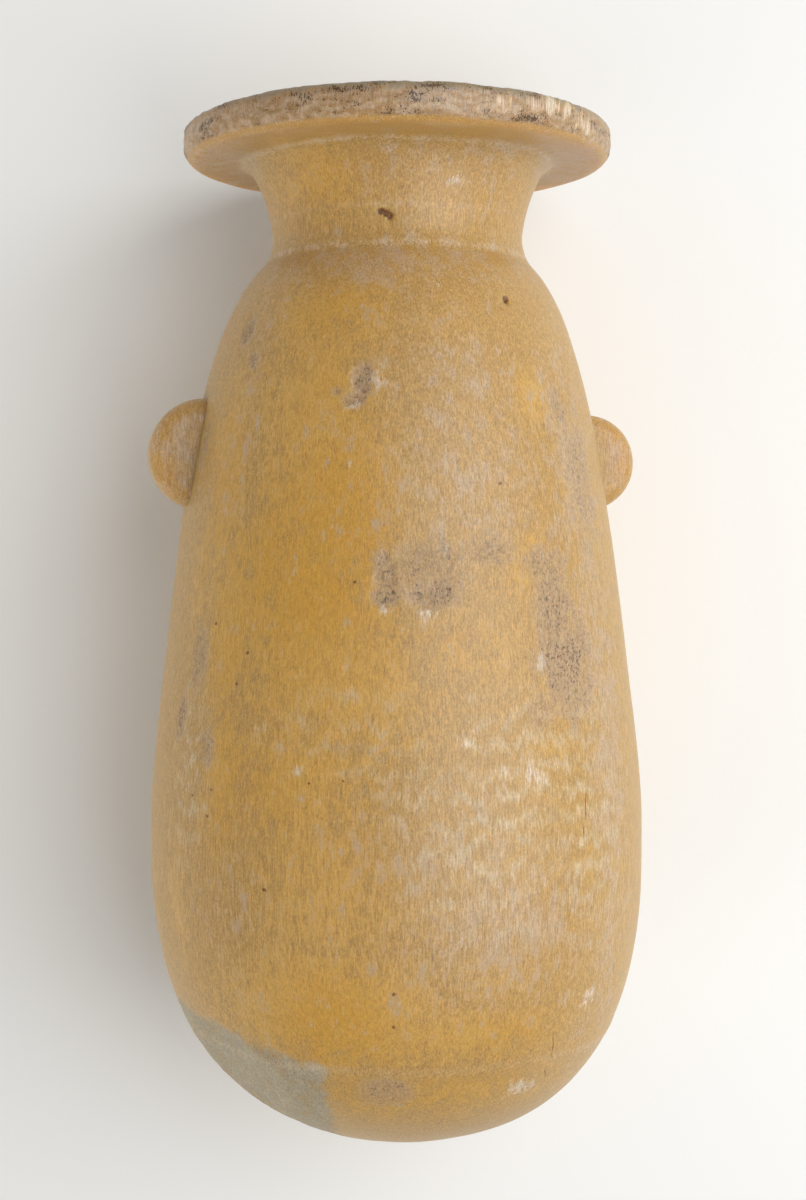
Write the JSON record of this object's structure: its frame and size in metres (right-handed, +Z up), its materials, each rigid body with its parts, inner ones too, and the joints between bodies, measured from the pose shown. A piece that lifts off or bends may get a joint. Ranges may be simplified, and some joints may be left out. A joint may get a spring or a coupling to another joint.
{
  "type": "stone alabastron perfume flask",
  "caption": "Hollow drop-shaped flask of banded calcite with a round underside, a short flaring neck, a broad flat disc rim and small side lugs, lying on its belly.",
  "frame": {"origin": "middle of the lying flask in plan, on the surface that it lies on", "axes": "+Y runs along the flask from its round underside to its rim, +Z points up from the surface that it lies on, and +X points across it, to the right in the picture"},
  "size_m": [0.0796, 0.1616, 0.0788],
  "materials": {
    "calcite": "honey-coloured banded calcite, ground smooth and softly polished, with worn and pitted grey patches"
  },
  "bodies": {
    "root": {"alabastron": "calcite"}
  },
  "joints": []
}
